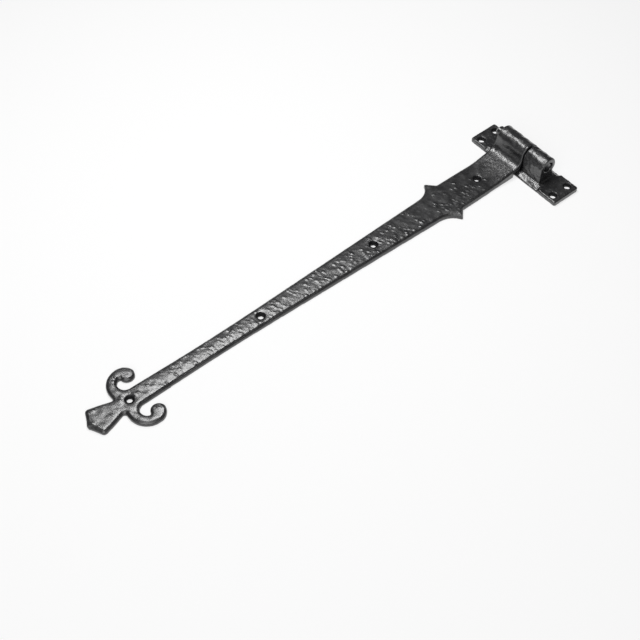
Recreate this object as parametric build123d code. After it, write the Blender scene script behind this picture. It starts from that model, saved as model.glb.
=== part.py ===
"""Lift-off strap hinge in black cast iron: tapered strap with a pierced fleur end, back plate and pin.

Frame, in millimetres: +X runs from the strap's tip to the back plate, +Y runs along the pin (up on a
hung door), +Z points out of the door's face. The origin is the centre of the plate's back face. The
backs of the strap and of the plate both lie in the plane Z = 0, as on a closed door.
"""
from build123d import *
from math import cos, hypot, radians, sin, sqrt, tan
import os

# Pin and barrel
PIN_DIA = 9.5
PIN_AXIS_HEIGHT = 19.0
BARREL_WALL = 4.2
RUNNING_CLEARANCE = 0.08
PIN_RECESS = 1.0
PIN_STUB = 6.0
PIN_END_CHAMFER = 1.2
BARREL_END_BREAK = 0.6

# Lengths along the pin
BOSS_START = -27.8
BOSS_LENGTH = 21.9
SEAM_GAP = 1.1
KNUCKLE_LENGTH = 32.8

# Back plate
PLATE_LENGTH = 105.5
PLATE_WIDTH = 29.6
PLATE_THICKNESS = 4.3
PLATE_CORNER_RADIUS = 1.8
PLATE_EDGE_ROUND = 1.1
PLATE_HOLE_FROM_SIDE = 5.9
PLATE_HOLE_FROM_END = 7.65
BOSS_NECK = 7.0
BOSS_BACK_FOOT = 9.4
BOSS_NECK_HEIGHT = 12.2

# Bevels on the plate's long edges, beside the barrels
BEVEL_WIDTH = 4.6
BEVEL_DEPTH = 2.7
BEVEL_PAST_BOSS = 2.8
BEVEL_PAST_KNUCKLE = 6.2
BEVEL_END_SLOPE = 50.0

# Screw holes, countersunk from the front
SCREW_HOLE_DIA = 5.6
COUNTERSINK_DIA = 8.0
COUNTERSINK_ANGLE = 90.0
FIRST_HOLE_REACH = 47.0
STRAP_HOLE_PITCH = 121.5
STRAP_HOLES_BEFORE_FLEUR = 3
FLEUR_HOLE_PAST_SCROLL = 7.7

# Strap in side view: a reach is a distance from the pin's axis along X
STRAP_LENGTH = 458.2
STRAP_TIP_THICKNESS = 4.2
STRAP_ROOT_THICKNESS = 5.35
CRANK_START_REACH = 35.5
CRANK_RISE = 5.25
CRANK_SOLE_REACH = 17.0
PLATE_GAP = 0.9
WEB_THICKNESS = 6.8
CRANK_SOLE_SLANT = 0.9
STRAP_EDGE_ROUND = 2.0

# Strap in plan: a half is a distance from the strap's middle line
STRAP_NARROW_BEFORE_TIP = 96.2
STRAP_NARROW_HALF = 8.1
STRAP_MIDDLE_REACH = 247.0
STRAP_MIDDLE_HALF = 9.9
STRAP_WIDE_HALF = 17.0

# Barbs, the pair of points on the strap's edges
BARB_START_REACH = 104.1
BARB_START_HALF = 14.0
BARB_TIP_REACH = 87.3
BARB_TIP_HALF = 24.8
BARB_END_REACH = 79.7
BARB_ROOT_ROUND = 2.1

# Scrolls of the fleur end
SCROLL_BEFORE_TIP = 46.9
SCROLL_OUTER_RADIUS = 16.9
SCROLL_OUTER_HALF = 13.8
SCROLL_CROWN_RADIUS = 11.0
LOBE_RADIUS = 6.1
LOBE_ANGLE = 23.6
BAY_PAST_SCROLL = 1.1
BAY_HALF = 15.6
BAY_RADIUS = 6.8
LOBE_ROOT_ROUND = 2.1

# Tail of the fleur end
NECK_HALF = 6.6
NECK_ROUND = 2.2
TAIL_CORNER_BEFORE_TIP = 6.7
TAIL_CORNER_HALF = 13.8
TAIL_CORNER_ROUND = 3.0
TAIL_SIDE_BULGE = 0.4
TAIL_END_HOLLOW = 0.5
TAIL_TIP_ROUND = 2.4

# Derived sizes
PIN_RADIUS = PIN_DIA / 2
BARREL_RADIUS = PIN_RADIUS + BARREL_WALL
BOSS_END = BOSS_START + BOSS_LENGTH
KNUCKLE_START = BOSS_END + SEAM_GAP
KNUCKLE_END = KNUCKLE_START + KNUCKLE_LENGTH
STRAP_MIDDLE_Y = (KNUCKLE_START + KNUCKLE_END) / 2
BEVEL_START = BOSS_START - BEVEL_PAST_BOSS
BEVEL_END = KNUCKLE_END + BEVEL_PAST_KNUCKLE
SOLE_HEIGHT = PLATE_THICKNESS + PLATE_GAP
SCROLL_REACH = STRAP_LENGTH - SCROLL_BEFORE_TIP
TALL = 2 * (PIN_AXIS_HEIGHT + BARREL_RADIUS)


def along_pin(profile, start, end):
    """Extrude a profile drawn in X and Z from one place on the pin to another."""
    return extrude(Plane.XZ.offset(-end) * profile, amount=end - start)


def screw_hole(x, y, top):
    """The cutter of one countersunk hole whose rim lies at the height top."""
    apex_depth = COUNTERSINK_DIA / 2 / tan(radians(COUNTERSINK_ANGLE / 2))
    through = Pos(x, y, 0) * Cylinder(SCREW_HOLE_DIA / 2, TALL)
    return through + Pos(x, y, top) * Cone(0, COUNTERSINK_DIA, 2 * apex_depth)


def edge_bevel(side):
    """The cutter of the bevel on one long edge of the plate: side is -1 at the front, 1 at the back."""
    edge = side * PLATE_WIDTH / 2
    slope = hypot(BEVEL_WIDTH, BEVEL_DEPTH)
    middle = (BEVEL_START + BEVEL_END) / 2
    face = Plane(
        origin=(edge, middle, PLATE_THICKNESS - BEVEL_DEPTH),
        x_dir=(0, 1, 0),
        z_dir=(side * BEVEL_DEPTH, 0, BEVEL_WIDTH),
    )
    floor = Rectangle(BEVEL_END - BEVEL_START, 2 * slope)
    return extrude(face * floor, amount=PLATE_THICKNESS, taper=-BEVEL_END_SLOPE)


def plate_body():
    """The flat plate with rounded front edges and a bevel on each long edge."""
    outline = RectangleRounded(PLATE_WIDTH, PLATE_LENGTH, PLATE_CORNER_RADIUS)
    plate = extrude(outline, amount=PLATE_THICKNESS)
    plate = fillet(plate.faces().sort_by(Axis.Z)[-1].edges(), PLATE_EDGE_ROUND)
    return plate - edge_bevel(-1) - edge_bevel(1)


def break_ends(barrel):
    """Break the edges of a barrel's two end faces."""
    ends = barrel.faces().filter_by(Axis.Y)
    return chamfer(ends.edges(), BARREL_END_BREAK)


def boss_profile():
    """The boss in X and Z: a barrel with an upright front wall and a necked back wall."""
    barrel = Pos(0, PIN_AXIS_HEIGHT) * Circle(BARREL_RADIUS)
    foot = Polyline(
        (-BARREL_RADIUS, PIN_AXIS_HEIGHT),
        (-BARREL_RADIUS, PLATE_THICKNESS / 2),
        (BOSS_BACK_FOOT, PLATE_THICKNESS / 2),
        (BOSS_BACK_FOOT, PLATE_THICKNESS),
        (BOSS_NECK, BOSS_NECK_HEIGHT),
        (0, PIN_AXIS_HEIGHT),
        close=True,
    )
    return barrel + make_face(foot)


def back_plate():
    """The plate and the boss that holds the pin, cast in one piece."""
    boss = along_pin(boss_profile(), BOSS_START, BOSS_END)
    body = plate_body() + break_ends(boss)
    bore = along_pin(Pos(0, PIN_AXIS_HEIGHT) * Circle(PIN_RADIUS), BOSS_START, BOSS_END)
    body -= bore
    hole_x = PLATE_WIDTH / 2 - PLATE_HOLE_FROM_SIDE
    hole_y = PLATE_LENGTH / 2 - PLATE_HOLE_FROM_END
    for x in (-hole_x, hole_x):
        for y in (-hole_y, hole_y):
            body -= screw_hole(x, y, PLATE_THICKNESS)
    return body


def hinge_pin():
    """The round steel pin: pressed into the boss, with a stub past the strap's knuckle."""
    start = BOSS_START + PIN_RECESS
    end = KNUCKLE_END + PIN_STUB
    pin = along_pin(Pos(0, PIN_AXIS_HEIGHT) * Circle(PIN_RADIUS), start, end)
    return chamfer(pin.edges().filter_by(GeomType.CIRCLE), PIN_END_CHAMFER)


def strap_top(reach):
    """Height of the strap's front face at a distance from the pin's axis."""
    share = (STRAP_LENGTH - reach) / (STRAP_LENGTH - CRANK_START_REACH)
    return STRAP_TIP_THICKNESS + share * (STRAP_ROOT_THICKNESS - STRAP_TIP_THICKNESS)


def hole_reaches():
    """Distances of the strap's screw holes from the pin's axis."""
    spaced = [FIRST_HOLE_REACH + index * STRAP_HOLE_PITCH for index in range(STRAP_HOLES_BEFORE_FLEUR)]
    return spaced + [SCROLL_REACH + FLEUR_HOLE_PAST_SCROLL]


def leaf_profile():
    """The flat leaf in X and Z, slightly thicker at the crank than at the tip."""
    return make_face(
        Polyline(
            (-STRAP_LENGTH, 0),
            (-STRAP_LENGTH, STRAP_TIP_THICKNESS),
            (-CRANK_START_REACH, STRAP_ROOT_THICKNESS),
            (-CRANK_START_REACH, 0),
            close=True,
        )
    )


def crank_profile():
    """The crank in X and Z: it climbs from the leaf over the plate's edge to below the barrel."""
    return make_face(
        Polyline(
            (-CRANK_START_REACH, 0),
            (-CRANK_START_REACH, STRAP_ROOT_THICKNESS),
            (-BARREL_RADIUS, STRAP_ROOT_THICKNESS + CRANK_RISE),
            (-BARREL_RADIUS, SOLE_HEIGHT),
            (-CRANK_SOLE_REACH, SOLE_HEIGHT),
            (-CRANK_SOLE_REACH - CRANK_SOLE_SLANT, 0),
            close=True,
        )
    )


def knuckle_profile():
    """The knuckle in X and Z: a barrel on a web, with a hollow that sweeps down into the crank's slope."""
    run = CRANK_START_REACH - BARREL_RADIUS
    ramp = hypot(run, CRANK_RISE)
    foot = (-BARREL_RADIUS, STRAP_ROOT_THICKNESS + CRANK_RISE)
    reach = PIN_AXIS_HEIGHT - foot[1]
    hollow_start = (foot[0] - reach * run / ramp, foot[1] - reach * CRANK_RISE / ramp)
    hollow_end = (-BARREL_RADIUS, PIN_AXIS_HEIGHT)
    web_back = WEB_THICKNESS - BARREL_RADIUS
    edges = [
        TangentArc(hollow_start, hollow_end, tangent=(run, CRANK_RISE)),
        Polyline(
            hollow_end,
            (web_back, PIN_AXIS_HEIGHT),
            (web_back, SOLE_HEIGHT),
            (hollow_start[0], SOLE_HEIGHT),
            hollow_start,
        ),
    ]
    return make_face(Curve() + edges) + Pos(0, PIN_AXIS_HEIGHT) * Circle(BARREL_RADIUS)


def scroll_points():
    """Centres and joints of the scroll's arcs, on the strap's +Y side from its middle line."""
    outer = (-SCROLL_REACH, SCROLL_OUTER_HALF)
    crown = (-SCROLL_REACH, SCROLL_OUTER_HALF + SCROLL_OUTER_RADIUS - SCROLL_CROWN_RADIUS)
    offset = SCROLL_CROWN_RADIUS - LOBE_RADIUS
    lobe_turn = radians(LOBE_ANGLE)
    lobe = (crown[0] + offset * cos(lobe_turn), crown[1] + offset * sin(lobe_turn))
    bay = (-SCROLL_REACH - BAY_PAST_SCROLL, BAY_HALF)
    return outer, crown, lobe, bay


def on_circle(centre, radius, angle):
    """A point on a circle, by its angle in degrees."""
    return (centre[0] + radius * cos(radians(angle)), centre[1] + radius * sin(radians(angle)))


def circles_meet(first, first_radius, second, second_radius):
    """The meeting point of two circles that lies on the left, going from the first centre to the second."""
    span = hypot(second[0] - first[0], second[1] - first[1])
    along = (span**2 + first_radius**2 - second_radius**2) / (2 * span)
    off = sqrt(first_radius**2 - along**2)
    ux = (second[0] - first[0]) / span
    uy = (second[1] - first[1]) / span
    return (first[0] + along * ux - off * uy, first[1] + along * uy + off * ux)


def half_outline():
    """Half of the leaf in plan, from the tail's tip to the crank, and the corners to be rounded."""
    outer, crown, lobe, bay = scroll_points()
    tip = (-STRAP_LENGTH, 0)
    corner = (-STRAP_LENGTH + TAIL_CORNER_BEFORE_TIP, TAIL_CORNER_HALF)
    neck = (-SCROLL_REACH - SCROLL_OUTER_RADIUS, NECK_HALF)
    flank = on_circle(outer, SCROLL_OUTER_RADIUS, 180)
    crest = on_circle(outer, SCROLL_OUTER_RADIUS, 90)
    lobe_start = on_circle(lobe, LOBE_RADIUS, LOBE_ANGLE)
    lobe_end = circles_meet(bay, BAY_RADIUS, lobe, LOBE_RADIUS)
    lobe_foot = on_circle(lobe, LOBE_RADIUS, -90)
    bay_foot = on_circle(bay, BAY_RADIUS, -90)
    barb_start = (-BARB_START_REACH, BARB_START_HALF)
    barb_tip = (-BARB_TIP_REACH, BARB_TIP_HALF)
    barb_end = (-BARB_END_REACH, STRAP_WIDE_HALF)
    root = (-CRANK_START_REACH, KNUCKLE_LENGTH / 2)
    narrowest = (-STRAP_LENGTH + STRAP_NARROW_BEFORE_TIP, STRAP_NARROW_HALF)
    middle = (-STRAP_MIDDLE_REACH, STRAP_MIDDLE_HALF)
    widening = (STRAP_MIDDLE_REACH - BARB_START_REACH, BARB_START_HALF - STRAP_MIDDLE_HALF)
    side_middle = (
        (corner[0] + neck[0]) / 2,
        (corner[1] + neck[1]) / 2 + TAIL_SIDE_BULGE,
    )
    end_middle = (
        (corner[0] + tip[0]) / 2 + TAIL_END_HOLLOW,
        (corner[1] + tip[1]) / 2,
    )
    edges = [
        ThreePointArc(tip, end_middle, corner),
        ThreePointArc(corner, side_middle, neck),
        Line(neck, flank),
        ThreePointArc(flank, on_circle(outer, SCROLL_OUTER_RADIUS, 135), crest),
        ThreePointArc(crest, on_circle(crown, SCROLL_CROWN_RADIUS, (90 + LOBE_ANGLE) / 2), lobe_start),
        ThreePointArc(lobe_start, lobe_foot, lobe_end),
        ThreePointArc(lobe_end, on_circle(bay, BAY_RADIUS, 180), bay_foot),
        Spline(bay_foot, narrowest, middle, barb_start, tangents=[(1, 0), widening]),
        TangentArc(barb_start, barb_tip, tangent=widening),
        Polyline(barb_tip, barb_end, root, (-CRANK_START_REACH, 0), tip),
    ]
    rounds = [
        (corner, TAIL_CORNER_ROUND),
        (neck, NECK_ROUND),
        (lobe_end, LOBE_ROOT_ROUND),
        (barb_end, BARB_ROOT_ROUND),
    ]
    return make_face(Curve() + edges), rounds


def leaf_plan():
    """The whole leaf in plan, mirrored about its middle line, with its corners rounded."""
    half, rounds = half_outline()
    for point, radius in rounds:
        vertex = half.vertices().sort_by_distance((point[0], point[1], 0))[0]
        half = fillet(vertex, radius)
    plan = half + mirror(half, about=Plane.XZ)
    tip = plan.vertices().sort_by_distance((-STRAP_LENGTH, 0, 0))[0]
    return fillet(tip, TAIL_TIP_ROUND)


def round_front_edges(solid):
    """Round the front edges of the leaf and the crank, except those that run straight across."""
    front = solid.faces().filter_by(lambda face: face.normal_at().Z > cos(radians(45)))
    return fillet(front.edges().filter_by(Axis.Y, reverse=True), STRAP_EDGE_ROUND)


def strap_leaf():
    """The strap, its fleur end, barbs, crank and knuckle, cast in one piece."""
    blank = extrude(Pos(0, STRAP_MIDDLE_Y, 0) * leaf_plan(), amount=TALL)
    widest = 2 * BARB_TIP_HALF
    leaf = blank & along_pin(leaf_profile(), STRAP_MIDDLE_Y - widest, STRAP_MIDDLE_Y + widest)
    crank = along_pin(crank_profile(), KNUCKLE_START, KNUCKLE_END)
    knuckle = along_pin(knuckle_profile(), KNUCKLE_START, KNUCKLE_END)
    body = round_front_edges(leaf + crank) + break_ends(knuckle)
    bore_radius = PIN_RADIUS + RUNNING_CLEARANCE
    body -= along_pin(Pos(0, PIN_AXIS_HEIGHT) * Circle(bore_radius), KNUCKLE_START, KNUCKLE_END)
    for reach in hole_reaches():
        body -= screw_hole(-reach, STRAP_MIDDLE_Y, strap_top(reach))
    return body


def main():
    os.makedirs("parts", exist_ok=True)
    export_step(strap_leaf(), "parts/strap_leaf.step")
    export_step(back_plate(), "parts/back_plate.step")
    export_step(hinge_pin(), "parts/hinge_pin.step")


main()
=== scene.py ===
"""Black painted cast-iron strap hinge: hammered castings, painted pin, pale studio and camera.

All lengths are in metres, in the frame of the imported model: +X from the strap's tip to the plate, +Y
along the pin, +Z out of the door's face.
"""
import math

import bmesh
import bpy
import numpy as np
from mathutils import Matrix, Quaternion, Vector, bvhtree, kdtree, noise


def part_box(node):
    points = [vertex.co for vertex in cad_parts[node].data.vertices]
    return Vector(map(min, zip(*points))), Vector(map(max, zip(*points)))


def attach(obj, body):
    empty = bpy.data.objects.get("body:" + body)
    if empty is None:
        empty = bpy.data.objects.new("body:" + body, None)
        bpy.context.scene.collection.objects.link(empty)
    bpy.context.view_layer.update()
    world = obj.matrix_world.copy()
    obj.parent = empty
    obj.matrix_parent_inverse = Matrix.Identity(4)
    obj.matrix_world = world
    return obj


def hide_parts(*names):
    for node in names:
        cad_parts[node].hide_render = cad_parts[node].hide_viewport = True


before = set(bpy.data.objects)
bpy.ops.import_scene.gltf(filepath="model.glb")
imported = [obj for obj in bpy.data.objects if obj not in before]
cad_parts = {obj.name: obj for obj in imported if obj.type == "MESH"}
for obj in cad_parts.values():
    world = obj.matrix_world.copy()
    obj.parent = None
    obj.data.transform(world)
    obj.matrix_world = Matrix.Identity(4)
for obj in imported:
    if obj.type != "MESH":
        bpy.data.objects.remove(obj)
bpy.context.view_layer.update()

MM = 0.001

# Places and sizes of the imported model; the tip is given as it lies before its point is rounded
STRAP_TIP_X = -458.2 * MM
FLEUR_START_X = -395.0 * MM
CRANK_START_X = -35.5 * MM
STRAP_TIP_TOP = 4.2 * MM
STRAP_ROOT_TOP = 5.35 * MM
STRAP_HOLES_X = (-47.0 * MM, -168.5 * MM, -290.0 * MM, -419.0 * MM)
STRAP_HOLES_Y = 11.6 * MM
PLATE_TOP = 4.3 * MM
PLATE_HOLES_X = 8.9 * MM
PLATE_HOLES_Y = 45.1 * MM
PIN_AXIS_Z = 19.0 * MM
KNUCKLE_RADIUS = 9.0 * MM

# Casting meshes
VOXEL = 0.62 * MM
WELD_REACH = 0.001 * MM
SMOOTH_ROUNDS = 3
SMOOTH_IN = 0.5
SMOOTH_OUT = -0.52
SIDE_WALL_SLOPE = 0.3

# Crowned face of the strap: it falls by the drop over the width next to its outline
STRAP_CROWN_DROP = 0.65 * MM
FLEUR_CROWN_DROP = 0.42 * MM
STRAP_CROWN_WIDTH = 9.0 * MM
FLEUR_CROWN_WIDTH = 5.0 * MM

# Side walls of the strap: they swell a little, and the lower flank leans in towards the face
WALL_SWELL = 0.32 * MM
WALL_SLOPE_SPAN = (0.3, 0.8)
WALL_DRAFT = 0.45 * MM
DRAFT_HEIGHT_SPAN = (0.8 * MM, 3.4 * MM)
DRAFT_SLOPE_SPAN = (0.7, 0.97)
LOWER_FLANK_SPAN = (0.0, 0.3)

# The bend at the foot of the crank is eased over this stretch to each side
CREASE_REACH = 9.0 * MM
CREASE_SLOPE = 0.2

# Where one kind of strap skin passes into the next: along X for the first three, then in height, then
# towards -Y from the line of screw holes, then inwards from the rim, where only a share is left
CRANK_SPAN = (-44.0 * MM, -30.0 * MM)
ROOT_SPAN = (-300.0 * MM, -90.0 * MM)
FLEUR_SPAN = (FLEUR_START_X - 10.0 * MM, FLEUR_START_X + 10.0 * MM)
BARREL_SPAN = (15.0 * MM, 21.0 * MM)
LOW_SIDE_SPAN = (-5.0 * MM, 7.0 * MM)
RIM_SPAN = (0.3 * MM, 2.5 * MM)
RIM_SHARE = 0.3

# Wrinkles and grains of the strap run slantwise and are longer than they are wide
SLANT = 0.5
STRETCH = 2.2
WRINKLE_CELL = 2.3 * MM
WRINKLE_SEED = Vector((3.1, 7.7, 1.3))
WRINKLE_HEIGHT = 0.085 * MM
WRINKLE_TAIL_GAIN = 0.04 * MM
WRINKLE_FLEUR_LOSS = 0.015 * MM
WAVE_CELL = 5.5 * MM
WAVE_SEED = Vector((0.4, 3.9, 5.2))
WAVE_HEIGHT = 0.20 * MM

# Grains of the strap: in patches at the root, mostly on its low side, and everywhere on the tail
PATCH_CELL = 17.0 * MM
PATCH_SEED = Vector((9.3, 2.2, 6.1))
PATCH_SPAN = (-0.15, 0.15)
HIGH_SIDE_SHARE = 0.15
GRAIN_CELL = 2.4 * MM
GRAIN_SEED = Vector((5.0, 8.5, 1.5))
GRAIN_HEIGHT = 0.38 * MM
GRAIN_ROOT_SHARE = 0.1
GRAIN_PATCH_SHARE = 0.75
GRAIN_TAIL_SHARE = 0.5
GRAIN_FLEUR_LOSS = 0.3

# Every grain and mark: its radius in cells, how uneven the heights are, and the scale of the draw
GRAIN_RADIUS = 0.55
GRAIN_SPREAD = 0.6
CHANCE_SCALE = 7.3

# Pebbled skin of the crank, its barrel and the plate, in two or three sizes
FINE_SEED = Vector((2.7, 8.1, 4.4))
COARSE_CELL = 3.4 * MM
COARSE_SEED = Vector((6.7, 1.1, 0.4))
CRANK_FINE_CELL = 1.1 * MM
CRANK_FINE_HEIGHT = 0.12 * MM
CRANK_COARSE_HEIGHT = 0.12 * MM
BARREL_FINE_LOSS = 0.07 * MM
BARREL_COARSE_GAIN = 0.16 * MM
BARREL_BROAD_CELL = 6.5 * MM
BARREL_BROAD_SEED = Vector((1.9, 5.3, 2.2))
BARREL_BROAD_HEIGHT = 0.42 * MM
PLATE_FINE_CELL = 1.2 * MM
PLATE_FINE_HEIGHT = 0.11 * MM
PLATE_COARSE_HEIGHT = 0.40 * MM
BOSS_FINE_LOSS = 0.03 * MM

# The plate's flat is calmer than its bevels and its boss, and carries faint marks
BOSS_SPAN = (5.0 * MM, 9.0 * MM)
BEVEL_FACING_SPAN = (0.25, 0.45)
BEVEL_SLOPE_SPAN = (0.5, 0.8)
PLATE_FLAT_SHARE = 0.35
MARK_CELL = 2.0 * MM
MARK_SEED = Vector((3.0, 5.1, 0.9))
MARK_HEIGHT = 0.30 * MM
MARK_SHARE = 0.5

# Knuckles: their flat ends and bores keep a plain skin, sunk by a hair so that nothing rubs
FLAT_END_FACING = 0.7
BORE_REACH = 5.6 * MM
FIT_SINK = 0.04 * MM

# Screw wells: painted shade, their reflections are all but turned off inside them so that they render
# darker
WELL_RADIUS = 4.1 * MM
WELL_DEPTH = 0.35 * MM
WELL_SHADE_SPECULAR = 0.1
WELL_SHADE_COAT = 0.0

# Gloss black paint
DEEP_BLACK = (0.005, 0.005, 0.006, 1)
WORN_BLACK = (0.016, 0.016, 0.017, 1)
TONE_SCALE = 140.0
TONE_DETAIL = 4.0
TONE_SPAN = (0.35, 0.7)
SHEEN_SPAN = (0.3, 0.7)
SHEEN_BELOW = 0.06
SHEEN_ABOVE = 0.08
PAINT_SPECULAR = 0.9
PAINT_COAT = 0.6
PAINT_COAT_ROUGHNESS = 0.2
PAINT_GRAIN_DETAIL = 3.0
PAINT_GRAIN_ROUGHNESS = 0.6
PAINT_GRAIN_DEPTH = 0.3 * MM

# Camera, at the photograph's viewing angle
CAMERA_PLACE = Vector((-0.67446, -0.52814, 0.84413))
CAMERA_TARGET = Vector((-0.25320, -0.01977, 0.0))
CAMERA_ROLL = 0.00251
CAMERA_LENS = 73.86
CAMERA_SENSOR = 36.0
CAMERA_NEAR = 0.05
CAMERA_FAR = 100.0

# Studio: the key is a small panel above the hinge's far side, the fill a broad one behind the camera
KEY_PLACE = Vector((-0.17, 0.24, 0.74))
KEY_WIDTH = 0.32
KEY_POWER = 4.4
FILL_PLACE = Vector((-1.25, -0.85, 1.20))
FILL_WIDTH = 1.6
FILL_POWER = 18.0
WORLD_LEVEL = 0.10

# Floor: part of what the camera sees of it is a glow, so that it stays pale and keeps the shadow
FLOOR_SIZE = 60.0
FLOOR_PLACE = (-0.25, 0.0, -0.05 * MM)
FLOOR_GREY = 0.93
FLOOR_ROUGHNESS = 0.9
FLOOR_SPECULAR = 0.1
FLOOR_GLOW = 1.0
FLOOR_GLOW_SHARE = 0.7


def surface_tree(node):
    """A search tree over a CAD node's own surface."""
    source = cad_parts[node].data
    points = [vertex.co.copy() for vertex in source.vertices]
    faces = [tuple(face.vertices) for face in source.polygons]
    return bvhtree.BVHTree.FromPolygons(points, faces)


def remeshed(node, name):
    """A dense copy of a CAD node's shape, as a new object."""
    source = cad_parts[node]
    mesh = source.data.copy()
    piece = bpy.data.objects.new(name, mesh)
    bpy.context.scene.collection.objects.link(piece)
    weld = bmesh.new()
    weld.from_mesh(mesh)
    bmesh.ops.remove_doubles(weld, verts=weld.verts, dist=WELD_REACH)
    weld.to_mesh(mesh)
    weld.free()
    modifier = piece.modifiers.new("dense", "REMESH")
    modifier.mode = "VOXEL"
    modifier.voxel_size = VOXEL
    modifier.adaptivity = 0.0
    graph = bpy.context.evaluated_depsgraph_get()
    dense = bpy.data.meshes.new_from_object(piece.evaluated_get(graph))
    piece.modifiers.clear()
    piece.data = dense
    bpy.data.meshes.remove(mesh)
    return piece


def coordinates(mesh):
    """A mesh's points, one row each."""
    points = np.empty(len(mesh.vertices) * 3)
    mesh.vertices.foreach_get("co", points)
    return points.reshape(-1, 3)


def store(mesh, points):
    """Write rows of points back into their mesh."""
    mesh.vertices.foreach_set("co", points.ravel())
    mesh.update()


def normals_of(mesh):
    """A mesh's normals, one row for each point."""
    normals = np.empty(len(mesh.vertices) * 3)
    mesh.vertex_normals.foreach_get("vector", normals)
    return normals.reshape(-1, 3)


def snap_to(tree, points):
    """Every point moved onto the nearest place of the CAD surface."""
    moved = points.copy()
    for index, point in enumerate(points):
        moved[index] = tree.find_nearest(Vector(point))[0]
    return moved


def smoothed(mesh, points, rounds):
    """Points moved towards the middle of their neighbours and back, which rounds edges with little loss."""
    edges = np.empty(len(mesh.edges) * 2, dtype=np.int64)
    mesh.edges.foreach_get("vertices", edges)
    first, second = edges.reshape(-1, 2).T
    count = np.bincount(first, minlength=len(points)) + np.bincount(second, minlength=len(points))
    for share in (SMOOTH_IN, SMOOTH_OUT) * rounds:
        total = np.zeros_like(points)
        for axis in range(3):
            total[:, axis] += np.bincount(first, points[second, axis], len(points))
            total[:, axis] += np.bincount(second, points[first, axis], len(points))
        points = points + share * (total / count[:, None] - points)
    return points


def outline_distance(points, normals):
    """How far each point lies from the nearest side wall, seen from above."""
    walls = points[np.abs(normals[:, 2]) < SIDE_WALL_SLOPE]
    tree = kdtree.KDTree(len(walls))
    for index, (x, y, _) in enumerate(walls):
        tree.insert((x, y, 0.0), index)
    tree.balance()
    return np.array([tree.find((x, y, 0.0))[2] for x, y, _ in points])


def casting(node, name, relief):
    """A dense mesh that follows a CAD node, with its edges softened and its skin hammered."""
    piece = remeshed(node, name)
    mesh = piece.data
    points = snap_to(surface_tree(node), coordinates(mesh))
    points = smoothed(mesh, points, SMOOTH_ROUNDS)
    store(mesh, points)
    normals = normals_of(mesh)
    edge = outline_distance(points, normals)
    depth = np.array([relief(Vector(p), Vector(n), d) for p, n, d in zip(points, normals, edge)])
    low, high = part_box(node)
    points = np.clip(points + normals * depth[:, None], low, high)
    store(mesh, points)
    mesh.shade_smooth()
    return piece


def blend(value, low, high):
    """A smooth step from 0 at low to 1 at high."""
    share = min(max((value - low) / (high - low), 0.0), 1.0)
    return share * share * (3 - 2 * share)


def ripple(point, cell, seed):
    """Smooth noise between about -1 and 1 that changes over a length of one cell."""
    return noise.noise(point / cell + seed)


def bumps(point, cell, height, share, seed):
    """Scattered round grains of uneven height: only a share of the cells holds one."""
    distances, centres = noise.voronoi(point / cell + seed, distance_metric="DISTANCE")
    chance = (noise.cell(centres[0] * CHANCE_SCALE) + 1.0) / 2.0
    if chance > share:
        return 0.0
    dome = max(0.0, 1.0 - (distances[0] / GRAIN_RADIUS) ** 2)
    return height * (1.0 - GRAIN_SPREAD * chance) * dome


def knuckle_fit(point, normal):
    """1 in a knuckle's bore, on its flat ends and on the plate's, where the skin is plain, and else 0."""
    flat_end = point.x > -KNUCKLE_RADIUS and abs(normal.y) > FLAT_END_FACING
    bore = math.hypot(point.x, point.z - PIN_AXIS_Z) < BORE_REACH
    return 1.0 if flat_end or bore else 0.0


def in_strap_hole(point):
    """Whether a point belongs to one of the strap's screw wells."""
    return any(math.hypot(point.x - x, point.y - STRAP_HOLES_Y) < WELL_RADIUS for x in STRAP_HOLES_X)


def strap_crown(normal, edge, fleur):
    """The face's fall towards its outline."""
    width = STRAP_CROWN_WIDTH + (FLEUR_CROWN_WIDTH - STRAP_CROWN_WIDTH) * fleur
    drop = STRAP_CROWN_DROP + (FLEUR_CROWN_DROP - STRAP_CROWN_DROP) * fleur
    return -drop * (1.0 - min(edge / width, 1.0)) ** 2 * max(normal.z, 0.0)


def strap_grains(point, stretched, tail, fleur):
    """The strap's scattered grains."""
    patch = blend(ripple(point, PATCH_CELL, PATCH_SEED), *PATCH_SPAN)
    low_side = HIGH_SIDE_SHARE + (1.0 - HIGH_SIDE_SHARE) * blend(STRAP_HOLES_Y - point.y, *LOW_SIDE_SPAN)
    root_share = GRAIN_ROOT_SHARE + GRAIN_PATCH_SHARE * patch * low_side
    tail_share = GRAIN_TAIL_SHARE - GRAIN_FLEUR_LOSS * fleur
    share = root_share * (1 - tail) + tail_share * tail
    return bumps(stretched, GRAIN_CELL, GRAIN_HEIGHT, share, GRAIN_SEED)


def strap_hammering(point, edge, tail, fleur):
    """Wrinkles, waves and grains of the flat strap, calmer next to its rim."""
    slanted = Vector((point.x + SLANT * point.y, point.y - SLANT * point.x, point.z))
    stretched = Vector((slanted.x, slanted.y / STRETCH, slanted.z))
    height = WRINKLE_HEIGHT + WRINKLE_TAIL_GAIN * tail - WRINKLE_FLEUR_LOSS * fleur
    wrinkles = ripple(stretched, WRINKLE_CELL, WRINKLE_SEED) * height
    waves = ripple(point, WAVE_CELL, WAVE_SEED) * WAVE_HEIGHT
    grains = strap_grains(point, stretched, tail, fleur)
    calm = RIM_SHARE + (1.0 - RIM_SHARE) * blend(edge, *RIM_SPAN)
    return (wrinkles + waves + grains) * calm


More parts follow.
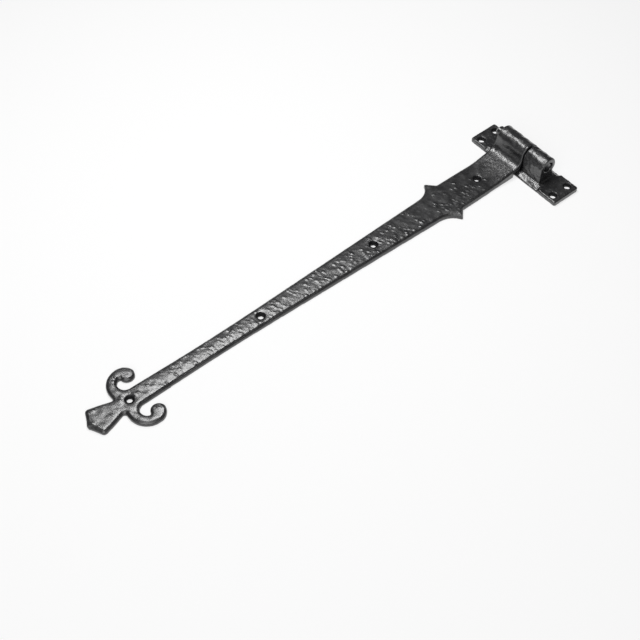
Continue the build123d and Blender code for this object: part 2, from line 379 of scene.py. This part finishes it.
def crank_pebbles(point):
    """The pebbled skin of the crank, broader on the barrel."""
    barrel = blend(point.z, *BARREL_SPAN)
    fine = ripple(point, CRANK_FINE_CELL, FINE_SEED) * (CRANK_FINE_HEIGHT - BARREL_FINE_LOSS * barrel)
    coarse = ripple(point, COARSE_CELL, COARSE_SEED) * (CRANK_COARSE_HEIGHT + BARREL_COARSE_GAIN * barrel)
    broad = ripple(point, BARREL_BROAD_CELL, BARREL_BROAD_SEED) * BARREL_BROAD_HEIGHT * barrel
    return fine + coarse + broad


def crank_crease(point, normal):
    """The easing of the bend at the crank's foot, by the parabola that meets both of its slopes."""
    reach = max(CREASE_REACH - abs(point.x - CRANK_START_X), 0.0)
    return CREASE_SLOPE * reach**2 / (4 * CREASE_REACH) * max(normal.z, 0.0)


def lower_flank_draft(point, normal):
    """How far the strap's lower flank leans in towards the face, outside the screw wells."""
    if in_strap_hole(point):
        return 0.0
    height = blend(point.z, *DRAFT_HEIGHT_SPAN)
    steep = 1.0 - blend(normal.z, *DRAFT_SLOPE_SPAN)
    return -WALL_DRAFT * height * steep * blend(-normal.y, *LOWER_FLANK_SPAN)


def strap_relief(point, normal, edge):
    """The strap's skin: hammered from the tip to the root, pebbled on the crank and its barrel."""
    crank = blend(point.x, *CRANK_SPAN)
    tail = 1.0 - blend(point.x, *ROOT_SPAN)
    fleur = 1.0 - blend(point.x, *FLEUR_SPAN)
    leaf = strap_hammering(point, edge, tail, fleur)
    leaf += strap_crown(normal, edge, fleur) + lower_flank_draft(point, normal)
    swell = WALL_SWELL * (1.0 - blend(abs(normal.z), *WALL_SLOPE_SPAN))
    skin = leaf * (1 - crank) + crank_pebbles(point) * crank + swell + crank_crease(point, normal)
    fit = knuckle_fit(point, normal)
    return skin * (1 - fit) - FIT_SINK * fit


def plate_relief(point, normal, _):
    """The plate's skin: faint marks on the flat, small pebbles on the bevels and the boss."""
    raised = blend(point.z, *BOSS_SPAN)
    bevel = blend(-normal.x, *BEVEL_FACING_SPAN) * blend(normal.z, *BEVEL_SLOPE_SPAN)
    fine = ripple(point, PLATE_FINE_CELL, FINE_SEED) * (PLATE_FINE_HEIGHT - BOSS_FINE_LOSS * raised)
    coarse = ripple(point, COARSE_CELL, COARSE_SEED) * PLATE_COARSE_HEIGHT
    rough = max(raised, bevel)
    marks = bumps(point, MARK_CELL, MARK_HEIGHT, MARK_SHARE * (1 - rough), MARK_SEED)
    skin = (fine + coarse) * (PLATE_FLAT_SHARE + (1.0 - PLATE_FLAT_SHARE) * rough) + marks
    fit = knuckle_fit(point, normal)
    return skin * (1 - fit) - FIT_SINK * fit


def well_depths(points, centres, tops):
    """How far inside a screw well each point lies, from 0 outside to 1 inside."""
    inside = np.zeros(len(points))
    for (x, y), top in zip(centres, tops):
        near = np.hypot(points[:, 0] - x, points[:, 1] - y) < WELL_RADIUS
        depth = np.clip((top - points[:, 2]) / WELL_DEPTH, 0.0, 1.0)
        inside = np.maximum(inside, near * depth)
    return inside


def mark_shaded_wells(piece, centres, tops):
    """Keep the wells as a named attribute, the mask for the painted shade in them."""
    mesh = piece.data
    attribute = mesh.attributes.new("well", "FLOAT", "POINT")
    attribute.data.foreach_set("value", well_depths(coordinates(mesh), centres, tops))


def strap_wells():
    """The centres of the strap's screw wells, and the face's height at each."""
    share = [(x - STRAP_TIP_X) / (CRANK_START_X - STRAP_TIP_X) for x in STRAP_HOLES_X]
    tops = [STRAP_TIP_TOP + s * (STRAP_ROOT_TOP - STRAP_TIP_TOP) for s in share]
    return [(x, STRAP_HOLES_Y) for x in STRAP_HOLES_X], tops


def plate_wells():
    """The centres of the plate's screw wells, and the face's height at each."""
    centres = [(x, y) for x in (-PLATE_HOLES_X, PLATE_HOLES_X) for y in (-PLATE_HOLES_Y, PLATE_HOLES_Y)]
    return centres, [PLATE_TOP] * len(centres)


def noise_texture(nodes, links, place, scale, detail):
    """A noise texture over the piece's own coordinates."""
    texture = nodes.new("ShaderNodeTexNoise")
    texture.inputs["Scale"].default_value = scale
    texture.inputs["Detail"].default_value = detail
    links.new(place.outputs["Object"], texture.inputs["Vector"])
    return texture


def paint_colour(nodes, links, shader, tone):
    """A near-black colour that drifts with the tone."""
    ramp = nodes.new("ShaderNodeValToRGB")
    for element, position, colour in zip(ramp.color_ramp.elements, TONE_SPAN, (DEEP_BLACK, WORN_BLACK)):
        element.position = position
        element.color = colour
    links.new(tone.outputs["Fac"], ramp.inputs["Fac"])
    links.new(ramp.outputs["Color"], shader.inputs["Base Color"])


def paint_sheen(nodes, links, shader, tone, roughness):
    """A gloss that drifts with the tone."""
    sheen = nodes.new("ShaderNodeMapRange")
    sheen.inputs["From Min"].default_value = SHEEN_SPAN[0]
    sheen.inputs["From Max"].default_value = SHEEN_SPAN[1]
    sheen.inputs["To Min"].default_value = roughness - SHEEN_BELOW
    sheen.inputs["To Max"].default_value = roughness + SHEEN_ABOVE
    links.new(tone.outputs["Fac"], sheen.inputs["Value"])
    links.new(sheen.outputs["Result"], shader.inputs["Roughness"])


def paint_well_shade(nodes, links, shader):
    """Full reflections outside the screw wells, and hardly any inside them: painted shade that darkens the
    wells.
    """
    well = nodes.new("ShaderNodeAttribute")
    well.attribute_name = "well"
    for socket, open_value, shaded_value in (
        ("Specular IOR Level", PAINT_SPECULAR, WELL_SHADE_SPECULAR),
        ("Coat Weight", PAINT_COAT, WELL_SHADE_COAT),
    ):
        level = nodes.new("ShaderNodeMapRange")
        level.inputs["To Min"].default_value = open_value
        level.inputs["To Max"].default_value = shaded_value
        links.new(well.outputs["Fac"], level.inputs["Value"])
        links.new(level.outputs["Result"], shader.inputs[socket])


def paint_grain(nodes, links, shader, grain, strength):
    """A fine pebbled skin on the paint and on its coat."""
    grain.inputs["Roughness"].default_value = PAINT_GRAIN_ROUGHNESS
    bump = nodes.new("ShaderNodeBump")
    bump.inputs["Strength"].default_value = strength
    bump.inputs["Distance"].default_value = PAINT_GRAIN_DEPTH
    links.new(grain.outputs["Fac"], bump.inputs["Height"])
    links.new(bump.outputs["Normal"], shader.inputs["Normal"])
    links.new(bump.outputs["Normal"], shader.inputs["Coat Normal"])


def black_paint(name, grain_scale, grain_strength, roughness):
    """Gloss black paint over a casting: near-black colour, uneven gloss, painted shade in the screw wells
    and a fine pebbled skin.
    """
    material = bpy.data.materials.new(name)
    material.use_nodes = True
    nodes, links = material.node_tree.nodes, material.node_tree.links
    shader = nodes["Principled BSDF"]
    shader.inputs["Coat Roughness"].default_value = PAINT_COAT_ROUGHNESS
    place = nodes.new("ShaderNodeTexCoord")
    tone = noise_texture(nodes, links, place, TONE_SCALE, TONE_DETAIL)
    grain = noise_texture(nodes, links, place, grain_scale, PAINT_GRAIN_DETAIL)
    paint_colour(nodes, links, shader, tone)
    paint_sheen(nodes, links, shader, tone, roughness)
    # Painted shade: the screw wells lose almost all their reflections
    paint_well_shade(nodes, links, shader)
    paint_grain(nodes, links, shader, grain, grain_strength)
    return material


def paint(piece, material, body, node):
    """Give a piece its material and its body, and hide the CAD node that it stands for."""
    piece.data.materials.clear()
    piece.data.materials.append(material)
    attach(piece, body)
    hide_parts(node)


def make_hinge():
    """The two castings in place of their CAD nodes, and the CAD's own pin in its paint."""
    cast_black = black_paint("cast_black", grain_scale=1100.0, grain_strength=0.35, roughness=0.39)
    pin_black = black_paint("pin_black", grain_scale=1600.0, grain_strength=0.12, roughness=0.26)
    strap = casting("strap_leaf", "strap_leaf_cast", strap_relief)
    plate = casting("back_plate", "back_plate_cast", plate_relief)
    # The wells' mask, which carries the painted shade in them
    mark_shaded_wells(strap, *strap_wells())
    mark_shaded_wells(plate, *plate_wells())
    paint(strap, cast_black, "strap", "strap_leaf")
    paint(plate, cast_black, "plate", "back_plate")
    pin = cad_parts["hinge_pin"]
    pin.data.materials.clear()
    pin.data.materials.append(pin_black)


def larger(nodes, links, first, second):
    """The larger of two outputs."""
    node = nodes.new("ShaderNodeMath")
    node.operation = "MAXIMUM"
    links.new(first, node.inputs[0])
    links.new(second, node.inputs[1])
    return node.outputs["Value"]


def floor_white():
    """A dull pale material that also glows for the camera and for rays mirrored or passed on to it."""
    material = bpy.data.materials.new("floor_white")
    material.use_nodes = True
    nodes, links = material.node_tree.nodes, material.node_tree.links
    shader = nodes["Principled BSDF"]
    shader.inputs["Base Color"].default_value = (FLOOR_GREY, FLOOR_GREY, FLOOR_GREY, 1)
    shader.inputs["Roughness"].default_value = FLOOR_ROUGHNESS
    shader.inputs["Specular IOR Level"].default_value = FLOOR_SPECULAR
    glow = nodes.new("ShaderNodeEmission")
    glow.inputs["Color"].default_value = (FLOOR_GLOW, FLOOR_GLOW, FLOOR_GLOW, 1)
    ray = nodes.new("ShaderNodeLightPath")
    seen = larger(nodes, links, ray.outputs["Is Camera Ray"], ray.outputs["Is Glossy Ray"])
    seen = larger(nodes, links, seen, ray.outputs["Is Transmission Ray"])
    share = nodes.new("ShaderNodeMath")
    share.operation = "MULTIPLY"
    share.inputs[1].default_value = FLOOR_GLOW_SHARE
    links.new(seen, share.inputs[0])
    mix = nodes.new("ShaderNodeMixShader")
    links.new(share.outputs["Value"], mix.inputs["Fac"])
    links.new(shader.outputs["BSDF"], mix.inputs[1])
    links.new(glow.outputs["Emission"], mix.inputs[2])
    links.new(mix.outputs["Shader"], nodes["Material Output"].inputs["Surface"])
    return material


def make_floor():
    """A plain pale floor, larger than any view of the part."""
    bpy.ops.mesh.primitive_plane_add(size=FLOOR_SIZE, location=FLOOR_PLACE)
    floor = bpy.context.object
    floor.name = "floor"
    floor.data.materials.append(floor_white())


def panel(name, place, width, power):
    """A square lamp that faces the middle of the hinge."""
    light = bpy.data.lights.new(name, "AREA")
    light.shape = "SQUARE"
    light.size = width
    light.energy = power
    lamp = bpy.data.objects.new(name, light)
    bpy.context.scene.collection.objects.link(lamp)
    lamp.location = place
    lamp.rotation_mode = "QUATERNION"
    lamp.rotation_quaternion = (CAMERA_TARGET - place).to_track_quat("-Z", "Y")


def make_lights():
    """A dim even world and the two panels."""
    world = bpy.data.worlds.new("studio")
    bpy.context.scene.world = world
    world.use_nodes = True
    background = world.node_tree.nodes["Background"]
    background.inputs["Color"].default_value = (1, 1, 1, 1)
    background.inputs["Strength"].default_value = WORLD_LEVEL
    panel("key", KEY_PLACE, KEY_WIDTH, KEY_POWER)
    panel("fill", FILL_PLACE, FILL_WIDTH, FILL_POWER)


def make_camera():
    """The camera that sees the hinge as the photograph does."""
    data = bpy.data.cameras.new("camera")
    data.sensor_fit = "HORIZONTAL"
    data.sensor_width = CAMERA_SENSOR
    data.lens = CAMERA_LENS
    data.clip_start = CAMERA_NEAR
    data.clip_end = CAMERA_FAR
    camera = bpy.data.objects.new("camera", data)
    bpy.context.scene.collection.objects.link(camera)
    camera.location = CAMERA_PLACE
    camera.rotation_mode = "QUATERNION"
    upright = (CAMERA_TARGET - CAMERA_PLACE).to_track_quat("-Z", "Y")
    camera.rotation_quaternion = upright @ Quaternion((0, 0, 1), CAMERA_ROLL)
    bpy.context.scene.camera = camera


make_hinge()
make_floor()
make_lights()
make_camera()
bpy.context.scene.view_settings.view_transform = "Standard"
